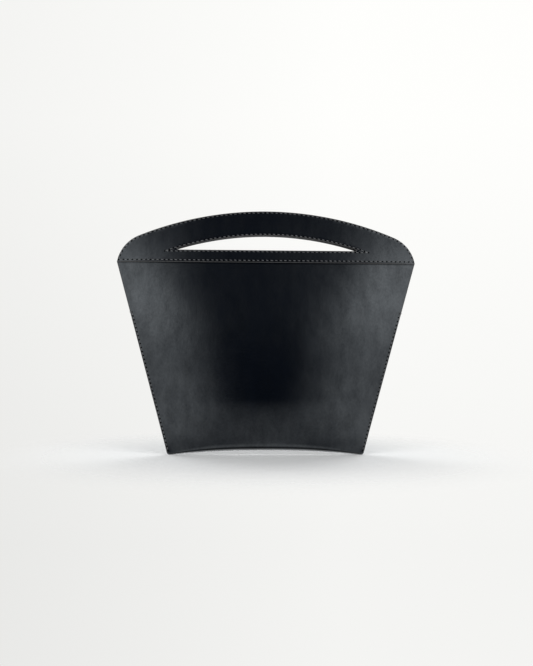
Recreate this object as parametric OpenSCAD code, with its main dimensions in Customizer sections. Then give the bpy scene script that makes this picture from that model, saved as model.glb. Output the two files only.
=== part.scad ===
// Trapeze bag: one heavy hide folded at the bottom and sewn up both sides, with an arched
// handle facing sewn to the outside of each leaf and a hand hole cut through both layers.
// X runs across the bag, its front faces -Y, Z is up, and the bottom corners stand on Z = 0.

/* [Outline] */
// Width across the shoulders, where the arch meets the sides
shoulder_w = 420; // [370:1:470]
// Width across the bottom corners
base_w = 276; // [230:1:340]
// Height of the shoulders
shoulder_h = 270; // [240:1:320]
// Rise of the arch above the shoulders
arch_rise = 72; // [66:1:84]
// Radius of the arch
arch_r = 475; // [440:1:540]
// Radius that rounds the arch into each shoulder
shoulder_r = 50; // [42:1:60]
// Radius of each bottom corner
corner_r = 4; // [1:0.5:6]

/* [Leather] */
// Thickness of the hide
hide_t = 3; // [2:0.1:4]
// Thickness of the handle facings
facing_t = 3; // [2:0.1:4]
// Cement between a facing and the hide
cement_t = 0.2; // [0.15:0.05:0.3]

/* [Hollow] */
// Half of the hollow's depth where it is fullest
belly_d = 22; // [16:1:30]
// Height at which the hollow is fullest
belly_h = 85; // [70:1:110]
// Half of the gap between the two leaves at the top of the arch
handle_gap = 3; // [2.5:0.5:8]
// Inner radius of the bottom fold halfway along it
fold_r = 10; // [6:0.5:14]
// Inner radius of the same fold at the corners, where the hide can't be creased any tighter
crease_r = 2.5; // [1.5:0.1:4]
// Height over which the hide closes from that crease to the side seam
pinch_h = 60; // [40:5:90]
// How far the bottom edge rises between the corners
bottom_rise = 6.3; // [0:0.1:10]

/* [Hand hole] */
// Height of the handle above the hole, at the middle
band_h = 34; // [28:1:38]
// Height of the strip between the hole and the facing's lower edge
strip_h = 17.4; // [14:0.2:22]
// Radius of the hole's upper edge
slot_r = 426; // [380:1:480]
// Radius at the hole's pointed ends
slot_tip_r = 1; // [0.6:0.1:1.6]

/* [Sewing] */
// Width of the cemented seam along each side
seam_w = 7; // [5:0.5:10]
// How far below the shoulders the side seams stop
slit_h = 70; // [55:1:100]
// Distance of a row of stitches from the arch and the hand hole
edge_margin = 2; // [1.5:0.1:4]
// Distance of a row of stitches from a facing's lower edge
base_margin = 3.1; // [2:0.1:5]
// Distance of a side seam's stitches from the edge
side_margin = 3; // [2:0.1:4]
// Spacing of the stitches on the facings
facing_pitch = 6.4; // [5.5:0.1:9]
// Spacing of the stitches on the side seams
side_pitch = 5.7; // [5:0.1:9]
// Width of the thread
thread_w = 1.1; // [0.6:0.1:1.4]
// Height of the thread above the leather
thread_h = 0.6; // [0.3:0.1:1]

/* [Mouth] */
// Distance from the bending line to the edge of each swinging leaf
swing_r = 25; // [23:1:32]
// Clearance between the body's edge and a swinging leaf
swing_gap = 0.3; // [0.2:0.1:0.6]

/* [Hidden] */
// Half of the gap between the two leaves beside the seams
side_gap = 0.25;
// Clearance under a row of stitches
thread_gap = 0.25;
// Angle from straight down at which the fold's flat underside ends
flat_a = 30;
// Powers that shape the wall: how flat the fold is, how flat the wall is, how softly it leaves the seam
fold_power = 2.4;
wall_power = 2;
seam_power = 1.15;
// How promptly the wall swells out above the fold, from 0 to 1
swell_share = 0.6;
// Steps across the wall, round the fold and up the wall
wall_cols = 20;
fold_rows = 4;
wall_rows = 12;
// Steps across a leaf, height of one step up it, and steps along the arcs of its outline
leaf_cols = 14;
leaf_step = 15;
arch_steps = 30;
shoulder_steps = 8;
tip_steps = 3;
// Flats round the bars that shape the swinging edges
bar_sides = 72;
// How far a cutting shape runs past what it cuts
past = 2;
// Share of a stitch's width that is left where it enters its hole
hole_share = 0.35;

arch_h = shoulder_h + arch_rise;
seam_top = shoulder_h - slit_h;
slot_top = arch_h - band_h;
slot_base = shoulder_h + strip_h;
fold_z = bottom_rise + (fold_r + side_gap + hide_t) * cos(flat_a);
bend_y = side_gap + hide_t / 2;
leaf_low = seam_top + swing_r / 5;
wall_top = seam_top + swing_r + past;
facing_in = hide_t + cement_t;
facing_out = facing_in + facing_t;

hide_colour = [0.10, 0.11, 0.13];
facing_colour = [0.13, 0.14, 0.16];
thread_colour = [0.02, 0.02, 0.02];

// Curves from 0 to 1 and from 1 to 0 that start and end level
function clamped(t) = min(max(t, 0), 1);
function ease(t) = let (c = clamped(t)) c * c * (3 - 2 * c);
function fall(t) = (1 + cos(180 * clamped(t))) / 2;
function swell(t) = mix(ease(t), sin(90 * clamped(t)), swell_share);
function mix(a, b, t) = a + (b - a) * t;

// Half of the bag's width at a height
function half_w(z) = mix(base_w / 2, shoulder_w / 2, z / shoulder_h);

// Half of the hollow's depth on the centre line
function centre_gap(z) = z < belly_h
    ? mix(fold_r, belly_d, swell((z - fold_z) / (belly_h - fold_z)))
    : mix(handle_gap, belly_d, fall((z - belly_h) / (arch_h - belly_h)));

// How much of that depth is left at a share u of the way to the seam
function across(u, z) = let (soft = ease((z - fold_z) / belly_h))
    pow(1 - pow(clamped(abs(u)), mix(fold_power, wall_power, soft)), mix(1, seam_power, soft));

// Half of the hollow's depth anywhere on the wall
function seam_gap(z) = crease_r * fall((z - fold_z) / pinch_h);
function half_gap(x, z) = side_gap
    + mix(seam_gap(z), centre_gap(z), across(x / (half_w(z) - seam_w), z));

// The fold at a share u along it: its inner radius, the height of its underside and of its centre
function fold_in(u) = side_gap + mix(fold_r, crease_r, pow(clamped(abs(u)), fold_power));
function fold_low(u) = bottom_rise * (1 - pow(clamped(abs(u)), fold_power));
function fold_mid(u) = fold_low(u) + (fold_in(u) + hide_t) * cos(flat_a);

// One point of the front wall: share u across, e past the seam (-1, 0 or 1), row k, and the
// offset out from the inner face
function wall_point(u, e, k, off, top) = let (
        round_fold = k <= fold_rows,
        a = mix(flat_a, 90, clamped(k / fold_rows)),
        z = round_fold
            ? fold_mid(u) - (fold_in(u) + off) * cos(a)
            : mix(fold_mid(u), top, (k - fold_rows) / wall_rows),
        t = 1 - clamped(k / fold_rows),
        w = half_w(z) - corner_r * (1 - sqrt(1 - t * t)),
        x = u * (w - seam_w) + e * seam_w,
        y = round_fold ? (fold_in(u) + off) * sin(a) : half_gap(x, z) + off
    ) [x, -y, z];

function seen_from_back(p) = [p[0], -p[1], p[2]];
function backwards(list) = [for (i = [len(list) - 1 : -1 : 0]) list[i]];

// A level of the body: along the front wall, then back along the rear wall
function wall_ring(k, off, edge, top) = let (
        cols = [for (i = [0 : wall_cols]) [2 * i / wall_cols - 1, 0]],
        all_cols = edge ? concat([[-1, -1]], cols, [[1, 1]]) : cols,
        front = [for (c = all_cols) wall_point(c[0], c[1], k, off, top)]
    ) concat(front, [for (p = backwards(front)) seen_from_back(p)]);

// A level of a sheet that lies on the front wall, between two offsets from the inner face
function sheet_ring(z, inner, outer) = let (
        w = half_w(z) + past,
        seam = half_w(z) - seam_w,
        xs = concat([-w], [for (i = [0 : leaf_cols]) seam * (2 * i / leaf_cols - 1)], [w])
    ) concat(
        [for (x = xs) [x, -half_gap(x, z) - outer, z]],
        [for (x = backwards(xs)) [x, -half_gap(x, z) - inner, z]]);

// A solid through a stack of rings; each ring runs along one face and returns along the other
module stack(rings) {
    n = len(rings[0]);
    last = len(rings) - 1;
    half = n / 2;
    side = [for (k = [0 : last - 1], i = [0 : n - 1]) let (
            a = k * n + i,
            b = k * n + (i + 1) % n
        ) each [[a, b + n, b], [a, a + n, b + n]]];
    low = [for (i = [0 : half - 2]) each [[i, i + 1, n - 2 - i], [i, n - 2 - i, n - 1 - i]]];
    high = [for (f = low) [for (i = backwards(f)) i + last * n]];
    polyhedron([for (r = rings) each r], concat(side, low, high));
}

// The outline of the arch, from the right shoulder over the top, drawn m inside the edge
arch_c = [0, arch_h - arch_r];
shoulder = [shoulder_w / 2, shoulder_h];
shoulder_c = let (
        to = shoulder - arch_c,
        d = norm(to),
        q = arch_r - shoulder_r,
        along = (d * d + q * q - shoulder_r * shoulder_r) / (2 * d),
        up = sqrt(q * q - along * along)
    ) arch_c + (to * along + [-to[1], to[0]] * up) / d;
arch_a = atan2(shoulder_c[1] - arch_c[1], shoulder_c[0] - arch_c[0]);

function arc(c, r, a0, a1, n) =
    [for (i = [0 : n]) c + r * [cos(mix(a0, a1, i / n)), sin(mix(a0, a1, i / n))]];
function mirrored(points) = [for (p = backwards(points)) [-p[0], p[1]]];

// Angle on the shoulder's arc, m inside the edge, at a height
function shoulder_a(z, m) = asin((z - shoulder_c[1]) / (shoulder_r - m));

function arch_line(z, m) = let (
        right = arc(shoulder_c, shoulder_r - m, shoulder_a(z, m), arch_a, shoulder_steps),
        over = arc(arch_c, arch_r - m, arch_a, 180 - arch_a, arch_steps)
    ) concat(right, [for (i = [1 : arch_steps - 1]) over[i]], mirrored(right));

module leaf_outline() {
    low = [half_w(leaf_low), leaf_low];
    polygon(concat([[-low[0], low[1]], low, shoulder],
        arch_line(shoulder_h, 0), [[-shoulder[0], shoulder[1]]]));
}

module facing_outline() {
    polygon(arch_line(shoulder_h, 0));
}

// The hand hole: an arc over a straight edge, with small round ends
slot_c = [0, slot_top - slot_r];
slot_tip = let (z = slot_base + slot_tip_r, q = slot_r - slot_tip_r)
    [sqrt(q * q - (z - slot_c[1]) * (z - slot_c[1])), z];
slot_a = atan2(slot_tip[1] - slot_c[1], slot_tip[0] - slot_c[0]);

module slot_outline() {
    right = arc(slot_tip, slot_tip_r, -90, slot_a, tip_steps);
    over = arc(slot_c, slot_r, slot_a, 180 - slot_a, arch_steps);
    polygon(concat(right, [for (i = [1 : arch_steps - 1]) over[i]], mirrored(right)));
}

// An upright shape drawn in X and Z, cut through the whole depth of the bag
module through() {
    depth = 4 * (belly_d + facing_out);
    rotate([90, 0, 0]) linear_extrude(height = depth, center = true) children();
}

// A round bar along the front's bending line, which meets the tops of the side seams
module bend_bar(r) {
    rotate([90, 0, 90]) linear_extrude(height = 2 * shoulder_w, center = true)
        polygon(arc([-bend_y, seam_top], r, 0, 360 - 360 / bar_sides, bar_sides - 1));
}

module hide_body() {
    color(hide_colour) difference() {
        stack([for (k = [0 : fold_rows + wall_rows]) wall_ring(k, hide_t, true, wall_top)]);
        stack([for (k = [0 : fold_rows + wall_rows]) wall_ring(k, 0, false, wall_top + past)]);
        difference() {
            translate([-shoulder_w, -shoulder_w / 2, seam_top])
                cube([2 * shoulder_w, shoulder_w, 2 * swing_r]);
            bend_bar(swing_r);
            mirror([0, 1, 0]) bend_bar(swing_r);
        }
    }
}

module sheet(low, high, inner, outer) {
    rows = ceil((high - low) / leaf_step);
    stack([for (i = [0 : rows]) sheet_ring(mix(low, high, i / rows), inner, outer)]);
}

module leaf() {
    difference() {
        intersection() {
            sheet(leaf_low - past, arch_h + past, 0, hide_t);
            through() difference() {
                leaf_outline();
                slot_outline();
            }
        }
        bend_bar(swing_r + swing_gap);
    }
}

module facing() {
    intersection() {
        sheet(shoulder_h - past, arch_h + past, facing_in, facing_out);
        through() difference() {
            facing_outline();
            slot_outline();
        }
    }
}

// A row of stitches on the front: points p with the offset of the face it lies on. The thread
// is thin in each hole and full between two holes, and a closed row returns to its start.
module stitches(holes, off, closed) {
    n = len(holes);
    pairs = closed ? n : n - 1;
    mids = [for (i = [0 : pairs - 1]) (holes[i] + holes[(i + 1) % n]) / 2];
    line = [for (i = [0 : pairs - 1]) each [[holes[i], hole_share], [mids[i], 1]]];
    row = closed ? line : concat(line, [[holes[n - 1], hole_share]]);
    m = len(row);
    points = [for (i = [0 : m - 1]) let (
            p = row[i][0],
            s = row[i][1],
            ahead = row[closed ? (i + 1) % m : min(i + 1, m - 1)][0],
            back = row[closed ? (i + m - 1) % m : max(i - 1, 0)][0],
            t = (ahead - back) / norm(ahead - back),
            side = [-t[1], t[0]] * s * thread_w / 2,
            y = -half_gap(p[0], p[1]) - off - thread_gap
        ) each [
            [p[0] - side[0], y, p[1] - side[1]],
            [p[0], y - s * thread_h, p[1]],
            [p[0] + side[0], y, p[1] + side[1]]]];
    runs = closed ? m : m - 1;
    faces = [for (i = [0 : runs - 1], j = [0 : 2]) let (
            a = 3 * i + j,
            b = 3 * i + (j + 1) % 3,
            c = 3 * ((i + 1) % m) + j,
            d = 3 * ((i + 1) % m) + (j + 1) % 3
        ) each [[a, b, d], [a, d, c]]];
    ends = closed ? [] : [[2, 1, 0], [3 * m - 3, 3 * m - 2, 3 * m - 1]];
    polyhedron(points, concat(faces, ends));
}

// How far along a line of points each of them lies
function lengths(line) = [for (i = 0, s = 0; i < len(line);
    i = i + 1, s = i < len(line) ? s + norm(line[i] - line[i - 1]) : s) s];

// Evenly spaced points along a line of points, from its first to its last
function spaced(line, pitch) = let (
        run = lengths(line),
        total = run[len(run) - 1],
        n = round(total / pitch)
    ) [for (j = [0 : n]) let (
        s = total * j / n,
        i = max([0, for (k = [0 : len(run) - 2]) if (run[k] <= s) k])
    ) mix(line[i], line[i + 1], (s - run[i]) / (run[i + 1] - run[i]))];

function without_last(list) = [for (i = [0 : len(list) - 2]) list[i]];

module border_thread() {
    z = shoulder_h + base_margin;
    over = arch_line(z, edge_margin);
    base = [over[len(over) - 1], over[0]];
    stitches(concat(without_last(spaced(over, facing_pitch)),
        without_last(spaced(base, facing_pitch))), facing_out, true);
}

module hand_hole_thread() {
    z = slot_base - edge_margin;
    r = slot_r + edge_margin;
    a = asin((z - slot_c[1]) / r);
    over = arc(slot_c, r, a, 180 - a, arch_steps);
    base = [over[len(over) - 1], over[0]];
    stitches(concat(without_last(spaced(over, facing_pitch)),
        without_last(spaced(base, facing_pitch))), facing_out, true);
}

module side_row() {
    low = fold_mid(1) + side_margin;
    line = [[half_w(low) - side_margin, low], [half_w(seam_top) - side_margin, seam_top]];
    stitches(spaced(line, side_pitch), hide_t, false);
}

module side_thread() {
    side_row();
    mirror([0, 1, 0]) side_row();
}

module hide_front_leaf() {
    color(hide_colour) leaf();
}

module hide_back_leaf() {
    color(hide_colour) mirror([0, 1, 0]) leaf();
}

module front_handle_facing() {
    color(facing_colour) facing();
}

module back_handle_facing() {
    color(facing_colour) mirror([0, 1, 0]) facing();
}

module front_border_thread() {
    color(thread_colour) border_thread();
}

module back_border_thread() {
    color(thread_colour) mirror([0, 1, 0]) border_thread();
}

module front_hand_hole_thread() {
    color(thread_colour) hand_hole_thread();
}

module back_hand_hole_thread() {
    color(thread_colour) mirror([0, 1, 0]) hand_hole_thread();
}

module left_side_thread() {
    color(thread_colour) mirror([1, 0, 0]) side_thread();
}

module right_side_thread() {
    color(thread_colour) side_thread();
}

hide_body();
hide_front_leaf();
hide_back_leaf();
front_handle_facing();
back_handle_facing();
front_border_thread();
back_border_thread();
front_hand_hole_thread();
back_hand_hole_thread();
left_side_thread();
right_side_thread();
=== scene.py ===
# %% [markdown]
# # A trapeze bag, cut and sewn in Blender
# The real bag is made from one heavy hide. A maker cuts it flat, folds it across the middle, sews
# both sides and sews an arched facing to the outside of each leaf, round a long hand hole.
# This script follows the same order: each piece is cut flat, gets its thickness and its rounded
# edges, is pricked for the thread, and only then is formed over the swelling of the full bag.
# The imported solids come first, because every piece has to lie where its solid lies.

# %% Load the frame
import math

import bmesh
import bpy
from mathutils import Matrix, Vector, noise


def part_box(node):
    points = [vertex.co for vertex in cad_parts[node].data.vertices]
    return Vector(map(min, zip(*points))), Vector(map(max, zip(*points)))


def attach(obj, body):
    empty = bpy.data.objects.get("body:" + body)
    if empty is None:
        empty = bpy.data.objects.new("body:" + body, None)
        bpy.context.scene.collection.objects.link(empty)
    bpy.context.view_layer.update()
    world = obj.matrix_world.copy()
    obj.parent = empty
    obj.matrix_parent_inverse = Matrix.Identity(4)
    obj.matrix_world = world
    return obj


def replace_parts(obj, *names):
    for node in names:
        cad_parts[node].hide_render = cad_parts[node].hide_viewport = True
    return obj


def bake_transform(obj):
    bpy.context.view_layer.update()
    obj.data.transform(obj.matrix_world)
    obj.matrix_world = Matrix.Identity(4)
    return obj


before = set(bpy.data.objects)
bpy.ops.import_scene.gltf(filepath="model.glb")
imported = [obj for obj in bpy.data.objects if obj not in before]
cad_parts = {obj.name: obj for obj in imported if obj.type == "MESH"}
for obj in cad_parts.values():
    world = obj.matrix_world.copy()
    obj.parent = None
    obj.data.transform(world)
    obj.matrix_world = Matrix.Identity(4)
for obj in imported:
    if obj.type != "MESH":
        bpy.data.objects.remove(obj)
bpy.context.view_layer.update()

# %% [markdown]
# The camera stands in front, half a bag up. The sides of the bag in the photograph converge a
# little towards the right, so it was taken from slightly left of the middle, and not quite level.

# %% Camera
PHOTO_W, PHOTO_H = 533, 666
FRAME_HEIGHT = 0.9398
CAMERA_DISTANCE, SENSOR = 1.60, 36.0
CAMERA_AZIMUTH = math.radians(-3.0)
CAMERA_TARGET = Vector((0.0003, 0, 0.1716))
ROLL = math.radians(0.33)

camera_data = bpy.data.cameras.new("camera")
camera_data.sensor_width = SENSOR
camera_data.lens = SENSOR * CAMERA_DISTANCE / FRAME_HEIGHT
camera = bpy.data.objects.new("camera", camera_data)
bpy.context.scene.collection.objects.link(camera)
away = Vector((math.sin(CAMERA_AZIMUTH), -math.cos(CAMERA_AZIMUTH), 0))
camera.matrix_world = (
    Matrix.Translation(CAMERA_TARGET + CAMERA_DISTANCE * away)
    @ Matrix.Rotation(CAMERA_AZIMUTH, 4, "Z")
    @ Matrix.Rotation(math.pi / 2, 4, "X")
    @ Matrix.Rotation(ROLL, 4, "Z")
)
bpy.context.scene.camera = camera
print("a", round(camera_data.lens, 1), "mm lens for a frame of", PHOTO_W, "by", PHOTO_H)

# %% [markdown]
# The sizes are those of the solids. What the frame can tell is asked of it, and the rest are the
# radii and margins that a maker would write on the pattern.

# %% Sizes of the pattern
facing_low, facing_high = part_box("front_handle_facing")
SHOULDER_W = facing_high.x - facing_low.x
SHOULDER_H = facing_low.z
ARCH_H = facing_high.z
BASE_W = 0.276
ARCH_R = 0.475
SHOULDER_R = 0.050
CORNER_R = 0.004

HIDE_T = 0.003
FACING_T = 0.003
CEMENT_T = 0.0002
EDGE_R = 0.0010

HANDLE_H, STRIP_H = 0.034, 0.0174
SLOT_R = 0.426
SLOT_TOP = ARCH_H - HANDLE_H
SLOT_BASE = SHOULDER_H + STRIP_H
SLOT_TIP_R = 0.001

OPEN_H = 0.070
SEAM_W = 0.005
SEAM_TOP = SHOULDER_H - OPEN_H
print("shoulders", round(SHOULDER_W, 4), "m wide at", round(SHOULDER_H, 4), "m")
print("arch", round(ARCH_H, 4), "m high")

# %% [markdown]
# The bag isn't flat: the two leaves are held together at the sides and stand apart between them, so
# each swells like a sail. The swelling is one function of the place on the pattern, and every
# piece that lies on the wall asks it where it is, so that nothing has to be fitted by hand.

# %% How far the wall stands out
BELLY_D, BELLY_H = 0.022, 0.085
HANDLE_GAP = 0.0045
SIDE_GAP = 0.0001
FOLD_R, FOLD_RISE = 0.010, 0.0063
CREASE_R, PINCH_H = 0.0014, 0.016
FOLD_LEAN = 0.17
FOLD_POWER, WALL_POWER, TOP_POWER = 2.4, 2.8, 4.5
SWELL_SHARE = 0.85
UNDERSIDE = math.cos(math.radians(30))
FOLD_Z = FOLD_RISE + (FOLD_R + SIDE_GAP + HIDE_T) * UNDERSIDE


def clamped(t):
    return min(max(t, 0.0), 1.0)


def mix(a, b, t):
    return a + (b - a) * t


def ease(t):
    t = clamped(t)
    return t * t * (3 - 2 * t)


def half_w(z):
    return mix(BASE_W / 2, SHOULDER_W / 2, z / SHOULDER_H)


def centre_gap(z):
    """Half of the hollow's depth on the centre line."""
    if z < BELLY_H:
        t = (z - FOLD_Z) / (BELLY_H - FOLD_Z)
        return mix(FOLD_R, BELLY_D, mix(ease(t), math.sin(clamped(t) * math.pi / 2), SWELL_SHARE))
    t = clamped((z - BELLY_H) / (ARCH_H - BELLY_H))
    return mix(HANDLE_GAP, BELLY_D, (1 + math.cos(math.pi * t)) / 2)


def share(x, z):
    """How far x lies on the way from the centre line to the seam, from 0 to 1."""
    return clamped(abs(x) / (half_w(z) - SEAM_W))


def across(u, z):
    """Share of that depth at u: flat in the middle and steep at the sides, most so at the top."""
    wall = mix(WALL_POWER, TOP_POWER, ease((z - BELLY_H) / (SHOULDER_H - BELLY_H)))
    return 1 - u ** mix(FOLD_POWER, wall, ease((z - FOLD_Z) / BELLY_H))


WAVE_H, WAVE_X, WAVE_Z, WAVE_SIDE = 0.0005, 13.0, 7.0, 3.7


def half_gap(x, z, side):
    """Half of the hollow's depth anywhere, with the slight unevenness of a real hide."""
    u = share(x, z)
    wave = WAVE_H * noise.noise(Vector((x * WAVE_X, z * WAVE_Z, WAVE_SIDE * side)))
    seam = CREASE_R * (1 - ease((z - FOLD_Z) / PINCH_H))
    return SIDE_GAP + mix(seam, centre_gap(z), across(u, z)) + wave * (1 - u ** 4)


print("half depth at the belly", round(half_gap(0, BELLY_H, 1) * 1000, 1), "mm")

# %% [markdown]
# At the bottom the hide turns round a fold. The fold is widest in the middle and closes towards
# the corners, which is what lifts the middle of the bottom edge. A point of the pattern is a
# triple: x across, off the thickness out from the inner face, and s the height on the pattern.
# Beside the side seams the hide is pared thinner, as a maker does where two thick edges meet, so
# the outer face goes on sloping to the very edge.

# %% Forming a point of the pattern
PARING = 0.0011
FOLD_SQUASH = 0.9


def fold_in(u):
    return SIDE_GAP + mix(FOLD_R, CREASE_R, u ** FOLD_POWER)


def fold_mid(u):
    """Height at which the fold has turned upright."""
    return FOLD_RISE * (1 - u ** FOLD_POWER) + (fold_in(u) + HIDE_T) * UNDERSIDE


def pared(x, z):
    """How much thinner the hide is made towards the side seam, above the crease."""
    t = clamped((abs(x) - half_w(z) + SEAM_W) / SEAM_W)
    return PARING * t * ease((z - fold_mid(1)) / PINCH_H)


def formed(x, off, s, side):
    """The place on the finished bag; side is 1 for the front and -1 for the back."""
    u = share(x, s)
    off -= pared(x, s) * clamped(off / HIDE_T)
    top = fold_mid(u)
    if s >= top:
        return Vector((x, -side * (half_gap(x, s, side) + off), s))
    end = math.pi / 2 * (1 - FOLD_LEAN * (1 - u ** FOLD_POWER))
    turn = end * s / top
    drop = (fold_in(u) + HIDE_T) * UNDERSIDE - (HIDE_T - off) * FOLD_SQUASH
    out = (fold_in(u) + off) * math.sin(turn) / math.sin(end)
    down = drop * (math.cos(turn) - math.cos(end)) / (1 - math.cos(end))
    return Vector((x, -side * out, top - down))


print("the bottom edge rises", round(formed(0, HIDE_T, 0, 1).z * 1000, 1), "mm in the middle")

# %% [markdown]
# The arch is one wide arc that runs into a small one at each shoulder. A pattern is cut a little
# smaller than the outline, by the radius of its edge, because the rounded edge is added outside
# it later. So every line of the outline can be asked for at an inset.

# %% The outline of the arch and of the hand hole
arch_c = Vector((0, ARCH_H - ARCH_R))


def shoulder_centre():
    """Where an arc that touches the arch inside also passes through the shoulder's corner."""
    to = Vector((SHOULDER_W / 2, SHOULDER_H)) - arch_c
    d = to.length
    q = ARCH_R - SHOULDER_R
    along = (d * d + q * q - SHOULDER_R ** 2) / (2 * d)
    up = math.sqrt(q * q - along * along)
    return arch_c + (to * along + Vector((-to.y, to.x)) * up) / d


shoulder_c = shoulder_centre()
join_a = math.atan2(shoulder_c.x, shoulder_c.y - arch_c.y)


def corner_x(z, m):
    """Where the shoulder's arc, m inside the outline, meets a height."""
    return shoulder_c.x + math.sqrt((SHOULDER_R - m) ** 2 - (z - shoulder_c.y) ** 2)


def arch_at(run, m):
    """A point of the arch at a length along it from the middle."""
    wide = (ARCH_R - m) * join_a
    if run < wide:
        a = run / (ARCH_R - m)
        return arch_c + (ARCH_R - m) * Vector((math.sin(a), math.cos(a)))
    a = join_a + (run - wide) / (SHOULDER_R - m)
    return shoulder_c + (SHOULDER_R - m) * Vector((math.sin(a), math.cos(a)))


def arch_run(z, m):
    """The length along the arch from the middle down to a height at the shoulder."""
    down = math.pi / 2 - math.asin((z - shoulder_c.y) / (SHOULDER_R - m))
    return (ARCH_R - m) * join_a + (SHOULDER_R - m) * (down - join_a)


slot_c = Vector((0, SLOT_TOP - SLOT_R))
tip_z = SLOT_BASE + SLOT_TIP_R
tip_x = math.sqrt((SLOT_R - SLOT_TIP_R) ** 2 - (tip_z - slot_c.y) ** 2)
tip_a = math.atan2(tip_x, tip_z - slot_c.y)


def slot_edges(x, m):
    """Heights of the hand hole's lower and upper edge at x, m outside the hole."""
    r = SLOT_TIP_R + m
    over = x - tip_x
    bulge = math.sqrt(max(r * r - over * over, 0))
    low = tip_z - (r if over < 0 else bulge)
    if over < r * math.sin(tip_a):
        return low, slot_c.y + math.sqrt((SLOT_R + m) ** 2 - x * x)
    return low, tip_z + bulge


print("hand hole", round(2000 * (tip_x + SLOT_TIP_R), 1), "mm long")

# %% [markdown]
# A piece of leather is cut from a flat grid, because rows and columns that run along the outline
# keep every face four-sided, and such faces take light smoothly. The columns stand at even steps
# along the arch, close up at the hand hole's pointed ends, and lean outwards at the shoulders.

# %% Columns of the pattern
HOLE_COLUMNS, SHOULDER_COLUMNS = 26, 20
TIP_TURNS = (math.radians(45), math.radians(70), math.radians(90))


def half_columns(m, low):
    """For each column from the middle out: its foot, its top, and its lower and upper hole edge
    as shares of the way from the foot to the top."""
    r = SLOT_TIP_R + m
    start = tip_x + r * math.sin(tip_a)
    places = [start * i / HOLE_COLUMNS for i in range(HOLE_COLUMNS + 1)]
    places += [tip_x + r * math.sin(a) for a in TIP_TURNS]
    columns = []
    for x in places:
        top = arch_c.y + math.sqrt((ARCH_R - m) ** 2 - x * x)
        edges = [(z - low) / (top - low) for z in slot_edges(x, m)]
        columns.append((Vector((x, low)), Vector((x, top)), edges[0], edges[1]))
    closed = columns[-1][2]
    last = places[-1]
    run_0 = (ARCH_R - m) * math.asin(last / (ARCH_R - m))
    run_1 = arch_run(low, m)
    foot_1 = corner_x(low, m)
    for j in range(1, SHOULDER_COLUMNS + 1):
        t = j / SHOULDER_COLUMNS
        foot = Vector((mix(last, foot_1, t), low))
        columns.append((foot, arch_at(mix(run_0, run_1, t), m), closed, closed))
    return columns


columns = half_columns(EDGE_R, SHOULDER_H)
print(2 * len(columns) - 1, "columns across a leaf")

# %% [markdown]
# The grid is made by one operator and its points are then moved onto the pattern. The hand hole
# is one row of the grid: its faces are deleted, and beyond the pointed ends that row has no
# height, so its points are merged.

# %% Cutting a flat piece
STRIP_ROWS, BAND_ROWS = 4, 7
WALL_ROWS, FOLD_ROWS = 46, 12
FIRST_ROW = 0.02
SIDE_LEAN = math.cos(math.atan2((SHOULDER_W - BASE_W) / 2, SHOULDER_H))


def arch_row(column, k):
    """Point k of a column above the facing's lower line."""
    foot, top, low, high = column
    if k <= STRIP_ROWS:
        return foot.lerp(top, low * k / STRIP_ROWS)
    return foot.lerp(top, mix(high, 1, (k - STRIP_ROWS - 1) / BAND_ROWS))


def wall_row(u, k, m, low):
    """Point k of a column of the hide below that line, from the middle of the fold up."""
    top = fold_mid(u)
    if k <= FOLD_ROWS:
        s = top * (FIRST_ROW if k == 1 else k / FOLD_ROWS)
    else:
        s = mix(top, low, (k - FOLD_ROWS) / WALL_ROWS)
    t = clamped(1 - s / fold_mid(1))
    corner = (CORNER_R - m) * (1 - math.sqrt(1 - t * t))
    return Vector((u * (half_w(s) - m / SIDE_LEAN - corner), s))


def cut_flat(m, low, with_wall):
    """A flat piece in X and Z: the part above low, and below it the wall and half of the fold."""
    half = half_columns(m, low)
    n = len(half) - 1
    below = FOLD_ROWS + WALL_ROWS if with_wall else 0
    rows = below + STRIP_ROWS + 1 + BAND_ROWS
    bm = bmesh.new()
    bmesh.ops.create_grid(bm, x_segments=2 * n, y_segments=rows, size=1)
    hole = []
    for f in bm.faces:
        c = f.calc_center_median()
        i, k = (c.x + 1) * n, (c.y + 1) / 2 * rows
        if int(k) == below + STRIP_ROWS and abs(i - n) < HOLE_COLUMNS + len(TIP_TURNS):
            hole.append(f)
    for v in bm.verts:
        i = round((v.co.x + 1) * n) - n
        k = round((v.co.y + 1) / 2 * rows)
        column = half[abs(i)]
        if k < below:
            p = wall_row(column[0].x / half[-1][0].x, k, m, low)
        else:
            p = arch_row(column, k - below)
        v.co = (math.copysign(p.x, i), 0, p.y)
    bmesh.ops.delete(bm, geom=hole, context="FACES")
    bmesh.ops.remove_doubles(bm, verts=bm.verts, dist=1e-6)
    bmesh.ops.dissolve_degenerate(bm, dist=1e-7, edges=bm.edges)
    return bm


sample = cut_flat(EDGE_R, SHOULDER_H, True)
print("the flat hide has", len(sample.faces), "faces")
sample.free()

# %% [markdown]
# Leather has thickness, and a cut edge is rounded with a tool and polished. The flat piece is
# copied for the inner face, and its border is extruded along a half-round profile until it meets
# the copy. Each border point remembers the way straight out of the piece, so corners stay even.
# Faces that aren't the grain side are given the slot of their own material.

# %% Thickness and rounded edges
FLESH, EDGE, AWL = 1, 2, 3
EDGE_TURNS = (30, 60, 90)


def edge_profile(thick, r):
    """Steps round an edge, from the outer face to the inner: how far out, and the height left."""
    turns = [math.radians(a) for a in EDGE_TURNS]
    over = [(r * math.sin(a), thick - r * (1 - math.cos(a))) for a in turns]
    under = [(out, thick - high) for out, high in reversed(over)]
    return over + under + [(0, 0)]


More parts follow.
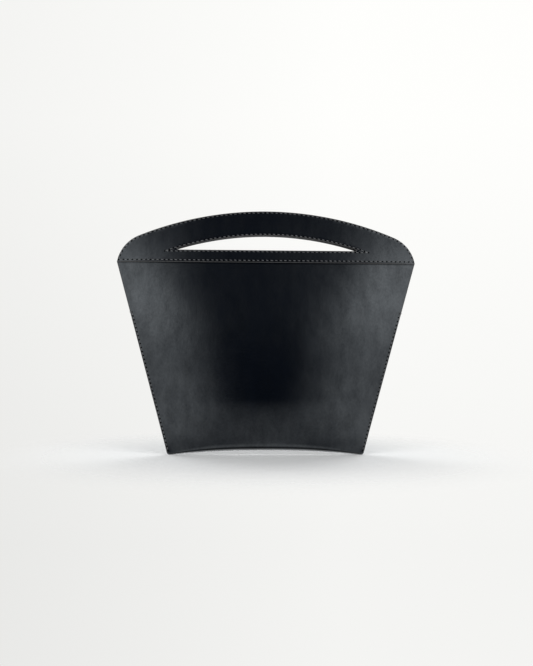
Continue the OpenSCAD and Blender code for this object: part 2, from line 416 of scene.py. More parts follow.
def ways_out(border):
    """For each border point, how it moves when the edge moves out by one."""
    normals = {}
    for e in border:
        a, b = e.verts
        along = (b.co - a.co).normalized()
        out = Vector((along.z, 0, -along.x))
        middle = e.link_faces[0].calc_center_median()
        if out.dot((a.co + b.co) / 2 - middle) < 0:
            out = -out
        on_fold = max(a.co.z, b.co.z) < 1e-6
        for v in (a, b):
            normals.setdefault(v, [])
            if not on_fold:
                normals[v].append(out)
    ways = {}
    for v, outs in normals.items():
        total = sum(outs, Vector())
        ways[v] = total / (1 + outs[0].dot(outs[1])) if len(outs) == 2 else total
    return ways


def thicken(bm, thick, r):
    """Makes the flat piece a closed sheet, with its outer face at -thick in Y."""
    home = bm.verts.layers.float_vector.new("home")
    way = bm.verts.layers.float_vector.new("way")
    border = [e for e in bm.edges if e.is_boundary]
    for v in bm.verts:
        v[home] = v.co
    for v, out in ways_out(border).items():
        v[way] = out
    outer = list(bm.verts)
    made = bmesh.ops.duplicate(bm, geom=bm.verts[:] + bm.edges[:] + bm.faces[:])["geom"]
    inner_faces = [g for g in made if isinstance(g, bmesh.types.BMFace)]
    inner_rim = [g for g in made if isinstance(g, bmesh.types.BMVert) and g.is_boundary]
    bmesh.ops.reverse_faces(bm, faces=inner_faces)
    for f in inner_faces:
        f.material_index = FLESH
    for v in outer:
        v.co.y = -thick
    edges = border
    for out, high in edge_profile(thick, r):
        made = bmesh.ops.extrude_edge_only(bm, edges=edges)["geom"]
        ring = [g for g in made if isinstance(g, bmesh.types.BMVert)]
        edges = [g for g in made if isinstance(g, bmesh.types.BMEdge) and g.is_boundary]
        for v in ring:
            v.co = v[home] + v[way] * out - Vector((0, high, 0))
            for f in v.link_faces:
                f.material_index = EDGE
    bmesh.ops.remove_doubles(bm, verts=ring + inner_rim, dist=1e-7)
    bmesh.ops.recalc_face_normals(bm, faces=bm.faces)
    bm.verts.layers.float_vector.remove(bm.verts.layers.float_vector["way"])
    bm.verts.layers.float_vector.remove(bm.verts.layers.float_vector["home"])


print("a cut edge is rounded in", len(edge_profile(HIDE_T, EDGE_R)), "steps")

# %% [markdown]
# Saddle stitches are evenly spaced, so a row is a line on the pattern that is divided into equal
# lengths. The row along the arch, the straight rows and the side rows all use the same divider.

# %% Rows of stitch holes
FACING_PITCH, SIDE_PITCH = 0.0064, 0.0057
EDGE_MARGIN, BASE_MARGIN, SIDE_MARGIN = 0.002, 0.0031, 0.0025
LINE_STEPS = 400


def divided(line, pitch):
    """Evenly spaced points along a line of points, from its first to its last."""
    runs = [0.0]
    for a, b in zip(line, line[1:]):
        runs.append(runs[-1] + (b - a).length)
    count = round(runs[-1] / pitch)
    points, k = [], 0
    for j in range(count + 1):
        run = runs[-1] * j / count
        while k < len(runs) - 2 and runs[k + 1] < run:
            k += 1
        points.append(line[k].lerp(line[k + 1], (run - runs[k]) / (runs[k + 1] - runs[k])))
    return points


def border_row():
    """Round the facing: over the arch from the left, then back along the lower line."""
    low = SHOULDER_H + BASE_MARGIN
    end = arch_run(low, EDGE_MARGIN)
    over = []
    for i in range(-LINE_STEPS, LINE_STEPS + 1):
        p = arch_at(abs(end * i / LINE_STEPS), EDGE_MARGIN)
        over.append(Vector((math.copysign(p.x, i), p.y)))
    return divided(over, FACING_PITCH)[:-1] + divided([over[-1], over[0]], FACING_PITCH)


def hand_hole_row():
    low = SLOT_BASE - EDGE_MARGIN
    r = SLOT_R + EDGE_MARGIN
    end = math.acos((low - slot_c.y) / r)
    turns = [end * i / LINE_STEPS for i in range(-LINE_STEPS, LINE_STEPS + 1)]
    over = [slot_c + r * Vector((math.sin(a), math.cos(a))) for a in turns]
    return divided(over, FACING_PITCH)[:-1] + divided([over[-1], over[0]], FACING_PITCH)


def side_row(hand):
    """Up one side; hand is 1 for the right and -1 for the left."""
    low = fold_mid(1) + SIDE_MARGIN
    ends = [Vector((hand * (half_w(z) - SIDE_MARGIN), z)) for z in (low, SEAM_TOP)]
    return divided(ends, SIDE_PITCH)


border_holes, hand_holes = border_row(), hand_hole_row()
side_holes = {1: side_row(1), -1: side_row(-1)}
print("stitches:", len(border_holes) - 1, "round the facing,", len(hand_holes) - 1,
      "round the hand hole,", len(side_holes[1]) - 1, "up each side")

# %% [markdown]
# An awl leaves a slanted, tapering hole. The holes are pressed into the flat leather with a
# boolean of small eight-sided tapers, while the leather is still flat and the cut is clean. The
# seam's holes go through two thick hides, so they are a little wider.

# %% Pricking the holes
HOLE_LONG, HOLE_SHORT, HOLE_DEEP = 0.0026, 0.0020, 0.0019
SEAM_HOLE = 1.18
AWL_SLANT = math.radians(38)
AWL_SIDES = 8
TAPER = 0.45


def row_turn(holes, k):
    """Direction of a row at a hole, as an angle in the X Z plane."""
    ahead = holes[min(k + 1, len(holes) - 1)] - holes[max(k - 1, 0)]
    return math.atan2(ahead.y, ahead.x)


def awl_tapers(rows, face, size):
    """One taper for each hole of the rows, on the face at that Y."""
    bm = bmesh.new()
    seen = set()
    for holes in rows:
        for k, p in enumerate(holes):
            key = (round(p.x, 5), round(p.y, 5))
            if key in seen:
                continue
            seen.add(key)
            lean = Matrix.Rotation(-row_turn(holes, k) - AWL_SLANT, 4, "Y")
            point = Matrix.Rotation(-math.pi / 2, 4, "X")
            shape = Matrix.Diagonal((size * HOLE_LONG, size * HOLE_SHORT, 1, 1))
            place = Matrix.Translation((p.x, face, p.y)) @ lean @ point @ shape
            bmesh.ops.create_cone(bm, cap_ends=True, segments=AWL_SIDES, radius1=0.5 * (2 - TAPER),
                                  radius2=0.5 * TAPER, depth=2 * HOLE_DEEP, matrix=place)
    for f in bm.faces:
        f.material_index = AWL
    return bm


def as_object(bm, name, materials=()):
    mesh = bpy.data.meshes.new(name)
    bm.to_mesh(mesh)
    bm.free()
    for material in materials:
        mesh.materials.append(material)
    obj = bpy.data.objects.new(name, mesh)
    bpy.context.scene.collection.objects.link(obj)
    return obj


def pricked(bm, rows, face, size, materials):
    """The piece with every hole of the rows pressed into one face."""
    piece = as_object(bm, "uncut", materials)
    tool = as_object(awl_tapers(rows, face, size), "awl", materials)
    cut = piece.modifiers.new("cut", "BOOLEAN")
    cut.operation = "DIFFERENCE"
    cut.solver = "EXACT"
    cut.use_self = True
    cut.object = tool
    done = piece.evaluated_get(bpy.context.evaluated_depsgraph_get())
    result = bmesh.new()
    result.from_mesh(done.to_mesh())
    done.to_mesh_clear()
    bpy.data.objects.remove(piece)
    bpy.data.objects.remove(tool)
    return result


print("an awl hole is", HOLE_LONG * 1000, "mm long and", HOLE_DEEP * 1000, "mm deep")

# %% [markdown]
# The last step for every piece is to form it over the bag and to say which edges stay crisp. Those
# are the mouths of the holes and nothing else, as all the cut edges are round.

# %% Forming and finishing a piece
CRISP = math.radians(42)


def form_over(bm, side, lift):
    for v in bm.verts:
        v.co = formed(v.co.x, lift - v.co.y, v.co.z, side)
    if side < 0:
        bmesh.ops.reverse_faces(bm, faces=bm.faces)
    for f in bm.faces:
        f.smooth = True
    for e in bm.edges:
        e.smooth = len(e.link_faces) != 2 or e.calc_face_angle(0) < CRISP


print("edges of more than", round(math.degrees(CRISP)), "degrees stay crisp")

# %% [markdown]
# ## Leather
# Waxed bridle leather is dyed through in blue-black, and almost all that shows of it is what its
# polished face mirrors. Every mark on it is made of noise on the object's own coordinates, at the
# real size of the mark, so the marks stay on a piece when it moves. These helpers keep the
# materials short.

# %% Nodes and coordinates
def material_named(name, base, rough):
    material = bpy.data.materials.new(name)
    material.use_nodes = True
    shader = material.node_tree.nodes["Principled BSDF"]
    shader.inputs["Base Color"].default_value = (*base, 1)
    shader.inputs["Roughness"].default_value = rough
    return material, material.node_tree, shader


def add_node(tree, kind, **settings):
    node = tree.nodes.new(kind)
    for name, value in settings.items():
        if name in node.inputs:
            node.inputs[name].default_value = value
        else:
            setattr(node, name, value)
    return node


def coordinates(tree, kind="Object"):
    return add_node(tree, "ShaderNodeTexCoord").outputs[kind]


def axes_of(tree, vector):
    node = add_node(tree, "ShaderNodeSeparateXYZ")
    tree.links.new(vector, node.inputs[0])
    return node.outputs


def stretched(tree, scale):
    """The object's coordinates, scaled so that one unit is one mark."""
    sized = add_node(tree, "ShaderNodeMapping")
    sized.inputs["Scale"].default_value = scale
    tree.links.new(coordinates(tree), sized.inputs["Vector"])
    return sized.outputs["Vector"]


def noise_at(tree, scale, detail=4.0, roughness=0.55):
    node = add_node(tree, "ShaderNodeTexNoise", Scale=1.0, Detail=detail, Roughness=roughness)
    tree.links.new(stretched(tree, scale), node.inputs["Vector"])
    return node.outputs["Fac"]


print("materials so far:", len(bpy.data.materials))

# %% [markdown]
# A value from noise is stretched to the range that a material needs, and values are added and
# multiplied on their way to it. The relief of a surface is a bump: it is far finer than the mesh.

# %% Values, colours and relief
def remapped(tree, value, low, high, to_low, to_high, smooth=False):
    node = add_node(tree, "ShaderNodeMapRange")
    node.interpolation_type = "SMOOTHSTEP" if smooth else "LINEAR"
    node.inputs["From Min"].default_value = low
    node.inputs["From Max"].default_value = high
    node.inputs["To Min"].default_value = to_low
    node.inputs["To Max"].default_value = to_high
    tree.links.new(value, node.inputs["Value"])
    return node.outputs["Result"]


def maths(tree, operation, a, b=0.0):
    node = add_node(tree, "ShaderNodeMath", operation=operation)
    for socket, value in zip(node.inputs, (a, b)):
        if isinstance(value, (int, float)):
            socket.default_value = value
        else:
            tree.links.new(value, socket)
    return node.outputs[0]


def times(tree, a, *others):
    for b in others:
        a = maths(tree, "MULTIPLY", a, b)
    return a


def plus(tree, a, *others):
    for b in others:
        a = maths(tree, "ADD", a, b)
    return a


def colour_between(tree, fac, dark, light):
    node = add_node(tree, "ShaderNodeMix", data_type="RGBA")
    node.inputs["A"].default_value = (*dark, 1)
    node.inputs["B"].default_value = (*light, 1)
    tree.links.new(fac, node.inputs["Factor"])
    return node.outputs["Result"]


def bumped(tree, shader, height, strength, distance):
    node = add_node(tree, "ShaderNodeBump")
    node.inputs["Strength"].default_value = strength
    node.inputs["Distance"].default_value = distance
    tree.links.new(height, node.inputs["Height"])
    tree.links.new(node.outputs["Normal"], shader.inputs["Normal"])


print("meshes so far:", len(bpy.data.meshes))

# %% [markdown]
# Use has left its marks on the grain side. There is a patch of pale scratches at the upper left of
# the front. The upper part mirrors more than the lower part. Right under the facing's lower edge
# the hide's sheen is turned down, as a painted shadow of that edge.

# %% Marks of use and a painted shadow
DULL_BELOW, BRIGHT_ABOVE, DULL, BRIGHT = 0.11, 0.23, 0.60, 1.15
SCRATCH_AT, SCRATCH_SPREAD = Vector((-0.170, -0.012, 0.219)), (0.030, 0.050, 0.012)
SCRATCH_LINES, SCRATCH_PLACES = (9, 9, 900), (26, 26, 40)
SHADE_H, SHADE_CORE, SHADE_LEAST = 0.0024, 0.3, 0.1
SHADE_MIDDLE, SHADE_SIDE, SHADE_ASIDE = 0.08, 0.19, 0.45


def distance_to(tree, spot, spread):
    """How far a point is from a spot, in units of the spread along each axis."""
    off = add_node(tree, "ShaderNodeVectorMath", operation="SUBTRACT")
    off.inputs[1].default_value = spot
    tree.links.new(coordinates(tree), off.inputs[0])
    part = add_node(tree, "ShaderNodeVectorMath", operation="DIVIDE")
    part.inputs[1].default_value = spread
    tree.links.new(off.outputs["Vector"], part.inputs[0])
    far = add_node(tree, "ShaderNodeVectorMath", operation="LENGTH")
    tree.links.new(part.outputs["Vector"], far.inputs[0])
    return far.outputs["Value"]


def scratches(tree):
    """A few fine lines, mostly level, that fade in and out."""
    lines = remapped(tree, noise_at(tree, SCRATCH_LINES, 1.0), 0.66, 0.72, 0, 1)
    here = remapped(tree, distance_to(tree, SCRATCH_AT, SCRATCH_SPREAD), 0.5, 1, 1, 0)
    elsewhere = remapped(tree, noise_at(tree, SCRATCH_PLACES, 2.0), 0.55, 0.65, 0, 0.2)
    return times(tree, lines, plus(tree, here, elsewhere))


def painted_shadow_under_facing(tree):
    """Painted shadow: the hide's sheen is turned down right under the facing's lower edge."""
    x, y, z = axes_of(tree, coordinates(tree))
    below = maths(tree, "SUBTRACT", SHOULDER_H, z)
    under = maths(tree, "GREATER_THAN", below, -EDGE_R)
    near = times(tree, under, remapped(tree, below, SHADE_CORE * SHADE_H, SHADE_H, 1, 0))
    aside = maths(tree, "ABSOLUTE", x)
    deep = times(tree, near, remapped(tree, aside, SHADE_MIDDLE, SHADE_SIDE, 1, SHADE_ASIDE))
    return remapped(tree, deep, 0, 1, 1, SHADE_LEAST)


def sheen_by_height(tree):
    """The wax mirrors more towards the top of the bag and less lower down."""
    x, y, z = axes_of(tree, coordinates(tree))
    return remapped(tree, z, DULL_BELOW, BRIGHT_ABOVE, DULL, BRIGHT, True)


print("the wax is polished from", DULL_BELOW, "m up to", BRIGHT_ABOVE, "m")

# %% [markdown]
# The grain itself is close and smooth: very fine cells and pores, low lumps, and a cloudy, faintly
# streaked film of wax that is glossier where it is thick. The plain colour and roughness are for a
# viewer that can't read the nodes.

# %% The grain side
CELLS, PORES, LUMPS = (1500, 1500, 1200), (900, 900, 700), (95, 95, 80)
CLOUDS, STREAKS = (34, 34, 26), (70, 70, 9)
FILM, SPECKS = (60, 60, 34), (360, 360, 300)
GRAIN_H, PORE_H, LUMP_H = 0.0000030, 0.0000024, 0.000055
HIDE_DARK, HIDE_PALE = (0.0003, 0.0008, 0.0020), (0.0012, 0.0019, 0.0036)
HIDE_SHINE = (0.90, 0.96, 1.0, 1)
HIDE_PLAIN, ROUGH_PLAIN = (0.006, 0.0075, 0.010), 0.42
CLOUD_SHARE = 0.6
ROUGH_MOST, ROUGH_LEAST, SCRATCH_ROUGH = 0.17, 0.13, 0.2
FILM_THIN, FILM_THICK = 0.36, 0.58
SPECK_THIN, SPECK_THICK = -0.06, 0.08


def bridle_leather():
    material, tree, shader = material_named("bridle_leather", HIDE_PLAIN, ROUGH_PLAIN)
    clouds = times(tree, noise_at(tree, CLOUDS, 5.0, 0.6), CLOUD_SHARE)
    mottle = plus(tree, clouds, times(tree, noise_at(tree, STREAKS, 3.0), 1 - CLOUD_SHARE))
    colour = colour_between(tree, remapped(tree, mottle, 0.35, 0.65, 0, 1), HIDE_DARK, HIDE_PALE)
    tree.links.new(colour, shader.inputs["Base Color"])
    smooth = remapped(tree, mottle, 0.3, 0.7, ROUGH_MOST, ROUGH_LEAST)
    rough = plus(tree, smooth, times(tree, scratches(tree), SCRATCH_ROUGH))
    tree.links.new(rough, shader.inputs["Roughness"])
    film = remapped(tree, noise_at(tree, FILM, 4.0, 0.6), 0.3, 0.7, FILM_THIN, FILM_THICK)
    speck = remapped(tree, noise_at(tree, SPECKS, 3.0, 0.6), 0.3, 0.7, SPECK_THIN, SPECK_THICK)
    # The sheen is turned down under the facing's lower edge: a painted shadow.
    shine = times(tree, plus(tree, film, speck), sheen_by_height(tree), painted_shadow_under_facing(tree))
    tree.links.new(shine, shader.inputs["Specular IOR Level"])
    shader.inputs["Specular Tint"].default_value = HIDE_SHINE
    cells = add_node(tree, "ShaderNodeTexVoronoi", feature="SMOOTH_F1", Scale=1.0)
    tree.links.new(stretched(tree, CELLS), cells.inputs["Vector"])
    grain = times(tree, cells.outputs["Distance"], GRAIN_H)
    pores = times(tree, noise_at(tree, PORES, 3.0), PORE_H)
    lumps = times(tree, noise_at(tree, LUMPS, 5.0, 0.66), LUMP_H)
    bumped(tree, shader, plus(tree, lumps, plus(tree, grain, pores)), 1.0, 1.0)
    return material


print("the grain is", round(GRAIN_H * 1e6), "and the lumps", round(LUMP_H * 1e6), "micrometres high")

# %% [markdown]
# The flesh side has a matt nap and shows only inside the mouth. A cut edge is rubbed with wax until
# its fibres lie flat. The walls of a hole have about the hide's own dark dye but mirror nothing, a
# painted shade for the dark inside of the hole, and that black is what makes a row of stitches
# read as a row of dots from afar.

# %% The flesh side, the polished edges and the holes
NAP, NAP_CLOUDS = (700, 700, 500), (45, 45, 30)
FIBRES, TORN = (220, 2200, 220), (1800, 1800, 1800)


def flesh_side():
    material, tree, shader = material_named("flesh_side", (0.020, 0.019, 0.019), 0.85)
    nap = noise_at(tree, NAP, 6.0, 0.7)
    mixed = plus(tree, times(tree, nap, 0.5), times(tree, noise_at(tree, NAP_CLOUDS), 0.5))
    colour = colour_between(tree, remapped(tree, mixed, 0.35, 0.65, 0, 1),
                            (0.012, 0.0115, 0.012), (0.034, 0.032, 0.031))
    tree.links.new(colour, shader.inputs["Base Color"])
    bumped(tree, shader, nap, 0.6, 0.0003)
    shader.inputs["Sheen Weight"].default_value = 0.12
    return material


def polished_edge():
    material, tree, shader = material_named("polished_edge", (0.008, 0.008, 0.009), 0.34)
    fibres = noise_at(tree, FIBRES, 5.0, 0.65)
    colour = colour_between(tree, remapped(tree, fibres, 0.35, 0.7, 0, 1),
                            (0.006, 0.006, 0.007), (0.020, 0.018, 0.017))
    tree.links.new(colour, shader.inputs["Base Color"])
    tree.links.new(remapped(tree, fibres, 0.3, 0.7, 0.28, 0.46), shader.inputs["Roughness"])
    bumped(tree, shader, fibres, 0.35, 0.00015)
    return material


# Painted shade: a hole's walls keep about the hide's own dark dye, with their mirror taken away to
# stand for the shade inside the hole.
def awl_hole_painted_shade():
    material, tree, shader = material_named("awl_hole_painted_shade", (0.002, 0.002, 0.002), 0.9)
    colour = colour_between(tree, noise_at(tree, TORN, 2.0),
                            (0.0002, 0.0002, 0.0002), (0.001, 0.001, 0.001))
    tree.links.new(colour, shader.inputs["Base Color"])
    shader.inputs["Specular IOR Level"].default_value = 0.0
    return material


LEATHER = [bridle_leather(), flesh_side(), polished_edge(), awl_hole_painted_shade()]
print("leather:", [m.name for m in LEATHER])

# %% [markdown]
# ## The hide
# The front and the back are halves of one piece, which meet on the bottom line. They are made as
# two meshes.


def hide_half(side, name):
    bm = cut_flat(EDGE_R, SHOULDER_H, True)
    thicken(bm, HIDE_T, EDGE_R)
    bm = pricked(bm, [side_holes[1], side_holes[-1]], -HIDE_T, SEAM_HOLE, LEATHER)
    form_over(bm, side, 0)
    hide = as_object(bm, name, LEATHER)
    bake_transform(hide)
    print(name, len(hide.data.polygons), "faces")
    return hide


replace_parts(hide_half(1, "hide_front"), "hide_body", "hide_front_leaf")
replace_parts(hide_half(-1, "hide_back"), "hide_back_leaf")

# %% [markdown]
# ## The handle facings
# Each facing is cut to the arch, a millimetre's radius on every edge, and pricked all the way
# round its border and round the hand hole. It lies on the hide, a film of cement away.

# %% Front and back facing
def facing(side, name, leaf):
    bm = cut_flat(EDGE_R, SHOULDER_H + EDGE_R, False)
    thicken(bm, FACING_T, EDGE_R)
    bm = pricked(bm, [border_holes, hand_holes], -FACING_T, 1, LEATHER)
    form_over(bm, side, HIDE_T + CEMENT_T)
    piece = as_object(bm, name, LEATHER)
    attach(piece, leaf)
    print(name, len(piece.data.polygons), "faces")
    return piece


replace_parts(facing(1, "facing_front", "front_leaf"), "front_handle_facing")
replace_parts(facing(-1, "facing_back", "back_leaf"), "back_handle_facing")

# %% [markdown]
# ## Thread
# Waxed linen is twisted from a few plies, which show as slanting ridges. The ridges are a sine over
# the thread's own UV, where one unit is a stitch along and a turn around. The same sine paints the
# grooves between plies darker, as painted shade, and the crests lighter. They could be modelled, but
# each stitch would then need hundreds of faces for ridges about a millimetre apart.

# %% Waxed thread
TWIST, PLIES = 6.0, 2.0
FLUFF = (2600, 2600, 2600)


def waxed_thread():
    material, tree, shader = material_named("waxed_thread", (0.035, 0.035, 0.036), 0.5)
    axes = axes_of(tree, coordinates(tree, "UV"))
    turns = plus(tree, times(tree, axes["X"], TWIST), times(tree, axes["Y"], PLIES))
    ply = maths(tree, "SINE", times(tree, turns, 2 * math.pi))
    fluff = times(tree, noise_at(tree, FLUFF, 3.0), 0.4)
    height = plus(tree, remapped(tree, ply, -1, 1, 0, 1), fluff)
    # Colour follows the ply relief: grooves are painted darker as shade, crests lighter; the fluff
    # adds random tone.
    colour = colour_between(tree, height, (0.018, 0.018, 0.019), (0.075, 0.075, 0.077))
    tree.links.new(colour, shader.inputs["Base Color"])
    bumped(tree, shader, height, 0.7, 0.0002)
    return material


THREAD = [waxed_thread()]
print("thread:", THREAD[0].name)

# %% [markdown]
# One stitch is made once, from a ring that is extruded along its length. There are hundreds of
# stitches, so it has only a few dozen faces, and it is smooth because its steps lie close together
# where it will bend.

# %% One stitch
STITCH_SIDES = 8
STITCH_STEPS = (0.0, 0.07, 0.2, 0.5, 0.8, 0.93, 1.0)


def one_stitch():
    """A unit stitch along X from 0 to 1, with its section of radius 1 in Y and Z."""
    bm = bmesh.new()
    uv = bm.loops.layers.uv.new("UVMap")
    ring = bmesh.ops.create_circle(bm, segments=STITCH_SIDES, radius=1,
                                   matrix=Matrix.Rotation(math.pi / 2, 4, "Y"))["verts"]
    edges = list({e for v in ring for e in v.link_edges})
    for a, b in zip(STITCH_STEPS, STITCH_STEPS[1:]):
        made = bmesh.ops.extrude_edge_only(bm, edges=edges)["geom"]
        ring = [g for g in made if isinstance(g, bmesh.types.BMVert)]
        edges = [g for g in made if isinstance(g, bmesh.types.BMEdge) and g.is_boundary]
        bmesh.ops.translate(bm, verts=ring, vec=(b - a, 0, 0))
    bmesh.ops.holes_fill(bm, edges=bm.edges, sides=0)
    bmesh.ops.recalc_face_normals(bm, faces=bm.faces)
    for f in bm.faces:
        f.smooth = True
        middle = f.calc_center_median()
        for loop in f.loops:
            turn = math.atan2(loop.vert.co.z, loop.vert.co.y) / (2 * math.pi)
            around = math.atan2(middle.z, middle.y) / (2 * math.pi)
            turn += round(around - turn)
            loop[uv].uv = (loop.vert.co.x, turn)
    mesh = bpy.data.meshes.new("stitch")
    bm.to_mesh(mesh)
    bm.free()
    return mesh


stitch_mesh = one_stitch()
print("one stitch has", len(stitch_mesh.polygons), "faces")

# %% [markdown]
# The stitch is laid between every two holes. It comes out of one hole, goes down the next, and
# leans a little, as in saddle stitching. The same row runs on the flesh side, where the stitches
# are flattened wherever the two halves of the bag lie close together.

# %% Rows on the facings
THREAD_R = 0.00056
SINK, PROUD = 0.0013, 0.00028
STITCH_START = 0.12
STITCH_LEAN = 0.00038
STITCH_DIP, DIP_POWER = 0.06, 0.5
STITCH_TAPER, STITCH_FLAT = 0.25, 0.85
ROOM_SHARE = 0.9
FACING_TOP = HIDE_T + CEMENT_T + FACING_T


def lay_stitch(bm, a, b, base, flat, side):
    """One stitch on the pattern from hole a to hole b, on the face at base, then formed.
    flat is how much of its height is left, and its sign says which way the face looks.
    A stitch that is mirrored by that has its faces turned back."""
    bm.from_mesh(stitch_mesh)
    bm.verts.ensure_lookup_table()
    bm.faces.ensure_lookup_table()
    if flat * side < 0:
        bmesh.ops.reverse_faces(bm, faces=bm.faces[-len(stitch_mesh.polygons):])
    along = b - a
    aside = Vector((-along.y, along.x)).normalized()
    for v in bm.verts[-len(stitch_mesh.vertices):]:
        t = v.co.x
        down = 1 - math.sin(math.pi * clamped(mix(-STITCH_DIP, 1 + STITCH_DIP, t))) ** DIP_POWER
        lean = STITCH_LEAN * (1 - 2 * t)
        wide = v.co.y * THREAD_R * (1 - STITCH_TAPER * down)
        p = a + along * mix(STITCH_START, 1 - STITCH_START, t) + aside * (wide + lean)
        high = PROUD - (SINK + PROUD) * down + v.co.z * THREAD_R * STITCH_FLAT
        v.co = formed(p.x, base + flat * high, p.y, side)


def sewn_rows(bm, holes, base, flat, side):
    for a, b in zip(holes, holes[1:]):
        lay_stitch(bm, a, b, base, flat, side)


def facing_thread(holes, side, name, node, leaf):
    """The stitches of a row on the facing, and the same row on the flesh side of the leaf."""
    bm = bmesh.new()
    sewn_rows(bm, holes, FACING_TOP, 1, side)
    for a, b in zip(holes, holes[1:]):
        middle = (a + b) / 2
        room = half_gap(middle.x, middle.y, side) / (PROUD + THREAD_R)
        lay_stitch(bm, a, b, 0, -clamped(room * ROOM_SHARE), side)
    thread = as_object(bm, name, THREAD)
    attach(thread, leaf)
    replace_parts(thread, node)
    print(name, len(thread.data.polygons), "faces")


for side, word in ((1, "front"), (-1, "back")):
    leaf = word + "_leaf"
    facing_thread(border_holes, side, "border_stitches_" + word, word + "_border_thread", leaf)
    facing_thread(hand_holes, side, "hand_hole_stitches_" + word, word + "_hand_hole_thread", leaf)

# %% [markdown]
# At the mouth the pull on a side seam is strongest, so there the thread also goes twice round the
# edge, from the last hole in front to the last hole behind. It is a round tube along a line of a
# few points, made of a grid that is rolled up.

# %% A thread round the edge
LOOP_SIDES, LOOP_BENDS = 10, 8
LOOP_SPACING = 0.0012
LOOP_PROUD, LOOP_OUT, LOOP_IN = 0.4 * THREAD_R, 0.2 * THREAD_R, 0.3 * THREAD_R
LOOP_POWER = 0.6
TWISTS = 8


def edge_loop(hole, z):
    """Centre line of a thread round the right edge, from the front hole to the back one."""
    out = HIDE_T + SIDE_GAP + LOOP_PROUD
    edge = half_w(z) + LOOP_OUT
    inside = hole - LOOP_IN
    near = out - pared(inside, z)
    out -= pared(edge, z)
    line = [Vector((inside, SINK - near, z)), Vector((inside + THREAD_R, -near, z))]
    for k in range(LOOP_BENDS + 1):
        a = math.pi * (k / LOOP_BENDS - 0.5)
        bow = math.copysign(abs(math.sin(a)) ** LOOP_POWER, a)
        line.append(Vector((edge - EDGE_R + EDGE_R * math.cos(a) ** LOOP_POWER, out * bow, z)))
    return line + [Vector((p.x, -p.y, z)) for p in reversed(line[:2])]


def tube(line, radius, hand):
    """A round thread along a level line, mirrored to the left for a hand of -1."""
    bm = bmesh.new()
    uv = bm.loops.layers.uv.new("UVMap")
    bmesh.ops.create_grid(bm, x_segments=len(line) - 1, y_segments=LOOP_SIDES, size=1)
    for f in bm.faces:
        for loop in f.loops:
            at = loop.vert.co
            loop[uv].uv = ((at.x + 1) * len(line) / TWISTS, (at.y + 1) / 2)
    for v in bm.verts:
        k = round((v.co.x + 1) / 2 * (len(line) - 1))
        ahead = (line[min(k + 1, len(line) - 1)] - line[max(k - 1, 0)]).normalized()
        a = math.pi * v.co.y
        spoke = math.cos(a) * Vector((-ahead.y, ahead.x, 0)) + math.sin(a) * Vector((0, 0, 1))
        q = line[k] + radius * spoke
        v.co = (hand * q.x, q.y, q.z)
    bmesh.ops.remove_doubles(bm, verts=bm.verts, dist=1e-7)
    bmesh.ops.holes_fill(bm, edges=bm.edges, sides=0)
    bmesh.ops.recalc_face_normals(bm, faces=bm.faces)
    for f in bm.faces:
        f.smooth = True
    mesh = bpy.data.meshes.new("thread")
    bm.to_mesh(mesh)
    bm.free()
    return mesh


top_hole = side_holes[1][-1]
print("the loops start", round((half_w(top_hole.y) - top_hole.x) * 1000, 1), "mm from the edge")

# %% [markdown]
# The side seams go through both halves of the hide, so their stitches show in front and behind.
# Inside, where the seam is closed, they are pressed nearly flat.

# %% Side seams
PRESSED = 0.1


def side_thread(hand, name, node):
    bm = bmesh.new()
    holes = side_holes[hand]
    for side in (1, -1):
        sewn_rows(bm, holes, HIDE_T, 1, side)
        for a, b in zip(holes, holes[1:]):
            lay_stitch(bm, a, b, 0, -PRESSED, side)
    top = holes[-1]
    for shift in (-LOOP_SPACING / 2, LOOP_SPACING / 2):
        bm.from_mesh(tube(edge_loop(abs(top.x), top.y + shift), THREAD_R, hand))
    thread = as_object(bm, name, THREAD)
    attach(thread, "bag")
    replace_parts(thread, node)
    print(name, len(thread.data.polygons), "faces")


side_thread(-1, "side_stitches_left", "left_side_thread")
side_thread(1, "side_stitches_right", "right_side_thread")

# %% [markdown]
# ## Light and floor
# Dark leather shows only what it mirrors. The middle of the front mirrors the dark room behind the
# camera. The flanks turn aside and mirror two wide lights, which are fainter low down. The lower
# front turns down and mirrors the pale ground, which is darkest right under the bag. The same lights
# stand behind the bag, so its back reads the same way. All this is one function of direction. It
# could be area lamps, but their edges would show as lines in leather as smooth as this.

# %% The light of the room
ROOM, TOP_LIGHT, SIDE_LIGHT, GROUND_LIGHT = 0.01, 0.8, 5.0, 1.8
TOP_STARTS, TOP_FULL = 0.55, 0.95
GROUND_STARTS, GROUND_FULL = math.radians(-9), math.radians(-52)
SHADE_ENDS, SHADE_FULL, SHADE_LEFT = math.radians(-60), math.radians(-85), 0.1
LIGHT_TURN = math.radians(-1.8)
LIGHT_STARTS, LIGHT_FULL = math.radians(1.5), math.radians(31)
LIGHT_WANES, LIGHT_ENDS = math.radians(44), math.radians(70)
LIGHT_FOOT, LIGHT_SHIN = math.radians(-45), math.radians(-12)
LIGHT_KNEE, LIGHT_HIP, LOW_SHARE = math.radians(0), math.radians(14), 0.43
LIGHT_TOP, LIGHT_EDGE = math.radians(50), math.radians(24)


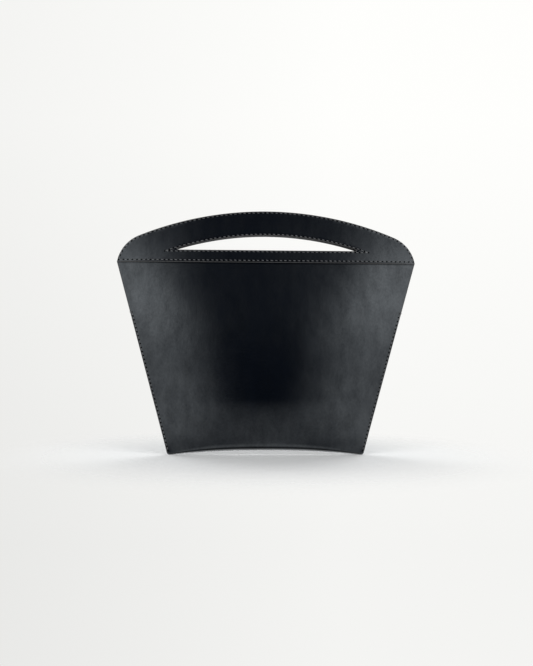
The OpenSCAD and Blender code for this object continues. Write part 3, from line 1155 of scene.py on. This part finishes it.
def room_light(tree, x, y, z):
    """What the bag is lit by and mirrors, in the direction x, y, z."""
    aside = maths(tree, "ARCTAN2", maths(tree, "ABSOLUTE", x), maths(tree, "ABSOLUTE", y))
    height = maths(tree, "ARCSINE", z)
    sides = times(tree,
                  remapped(tree, aside, LIGHT_STARTS, LIGHT_FULL, 0, SIDE_LIGHT, True),
                  remapped(tree, aside, LIGHT_WANES, LIGHT_ENDS, 1, 0, True),
                  remapped(tree, height, LIGHT_FOOT, LIGHT_SHIN, 0, 1, True),
                  remapped(tree, height, LIGHT_KNEE, LIGHT_HIP, LOW_SHARE, 1, True),
                  remapped(tree, height, LIGHT_TOP - LIGHT_EDGE, LIGHT_TOP, 1, 0, True))
    top = remapped(tree, z, TOP_STARTS, TOP_FULL, 0, TOP_LIGHT, True)
    ground = times(tree,
                   remapped(tree, height, GROUND_FULL, GROUND_STARTS, GROUND_LIGHT, 0),
                   remapped(tree, height, SHADE_FULL, SHADE_ENDS, SHADE_LEFT, 1, True))
    return plus(tree, plus(tree, sides, top), plus(tree, ground, ROOM))


print("the side lights are full at", round(math.degrees(LIGHT_FULL)), "degrees aside")

# %% [markdown]
# The camera sees none of that room. Where it looks past the bag it sees a pale backdrop, a little
# warmer than the lights, that lightens towards the upper right.

# %% The backdrop and the world
BACKDROP, BACKDROP_SLOPE = 0.905, 0.045
VIEW_HALF_W, VIEW_HALF_H = 0.144, 0.180
COOL, WARM = (0.975, 0.99, 1.0), (1.0, 1.0, 0.982)


def backdrop(tree, x, z):
    """What the camera sees behind the bag."""
    over_x = remapped(tree, x, -VIEW_HALF_W, VIEW_HALF_W, -BACKDROP_SLOPE, BACKDROP_SLOPE)
    over_z = remapped(tree, z, -VIEW_HALF_H, VIEW_HALF_H, -BACKDROP_SLOPE, BACKDROP_SLOPE)
    return plus(tree, over_x, over_z, BACKDROP)


def studio():
    world = bpy.data.worlds.new("studio")
    world.use_nodes = True
    tree = world.node_tree
    tree.nodes.clear()
    turned = add_node(tree, "ShaderNodeVectorRotate", rotation_type="Z_AXIS", Angle=LIGHT_TURN)
    tree.links.new(coordinates(tree, "Generated"), turned.inputs["Vector"])
    x, y, z = axes_of(tree, turned.outputs[0])
    seen = add_node(tree, "ShaderNodeLightPath").outputs["Is Camera Ray"]
    chosen = add_node(tree, "ShaderNodeMix", data_type="FLOAT")
    tree.links.new(seen, chosen.inputs["Factor"])
    tree.links.new(room_light(tree, x, y, z), chosen.inputs["A"])
    tree.links.new(backdrop(tree, x, z), chosen.inputs["B"])
    shader = add_node(tree, "ShaderNodeBackground")
    tree.links.new(chosen.outputs["Result"], shader.inputs["Strength"])
    tree.links.new(colour_between(tree, seen, COOL, WARM), shader.inputs["Color"])
    out = add_node(tree, "ShaderNodeOutputWorld")
    tree.links.new(shader.outputs[0], out.inputs["Surface"])
    return world


bpy.context.scene.world = studio()
print("the world has", len(bpy.context.scene.world.node_tree.nodes), "nodes")

# %% [markdown]
# The floor is a disc of pale paper that takes the bag's shadow and fades out towards its rim. The
# leather doesn't mirror it: the ground's own light is smooth there, and the disc's rim would draw a
# line across the lower front.

# %% The floor
FLOOR_R, FLOOR_FADE, FLOOR_SIDES = 0.42, 0.12, 64


def floor_paper():
    material, tree, shader = material_named("floor_paper", (0.73, 0.73, 0.725), 0.9)
    far = add_node(tree, "ShaderNodeVectorMath", operation="LENGTH")
    tree.links.new(coordinates(tree), far.inputs[0])
    clear = remapped(tree, far.outputs["Value"], FLOOR_FADE, FLOOR_R, 1, 0, True)
    tree.links.new(clear, shader.inputs["Alpha"])
    return material


bm = bmesh.new()
bmesh.ops.create_circle(bm, cap_ends=True, segments=FLOOR_SIDES, radius=FLOOR_R)
floor = as_object(bm, "floor", [floor_paper()])
floor.visible_glossy = False
print("floor", 2 * FLOOR_R, "m across")

# %% [markdown]
# Last, the colours are shown through the Standard view transform. Nothing on this bag sticks out
# past its leather.

# %% Finish
bpy.context.scene.view_settings.view_transform = "Standard"
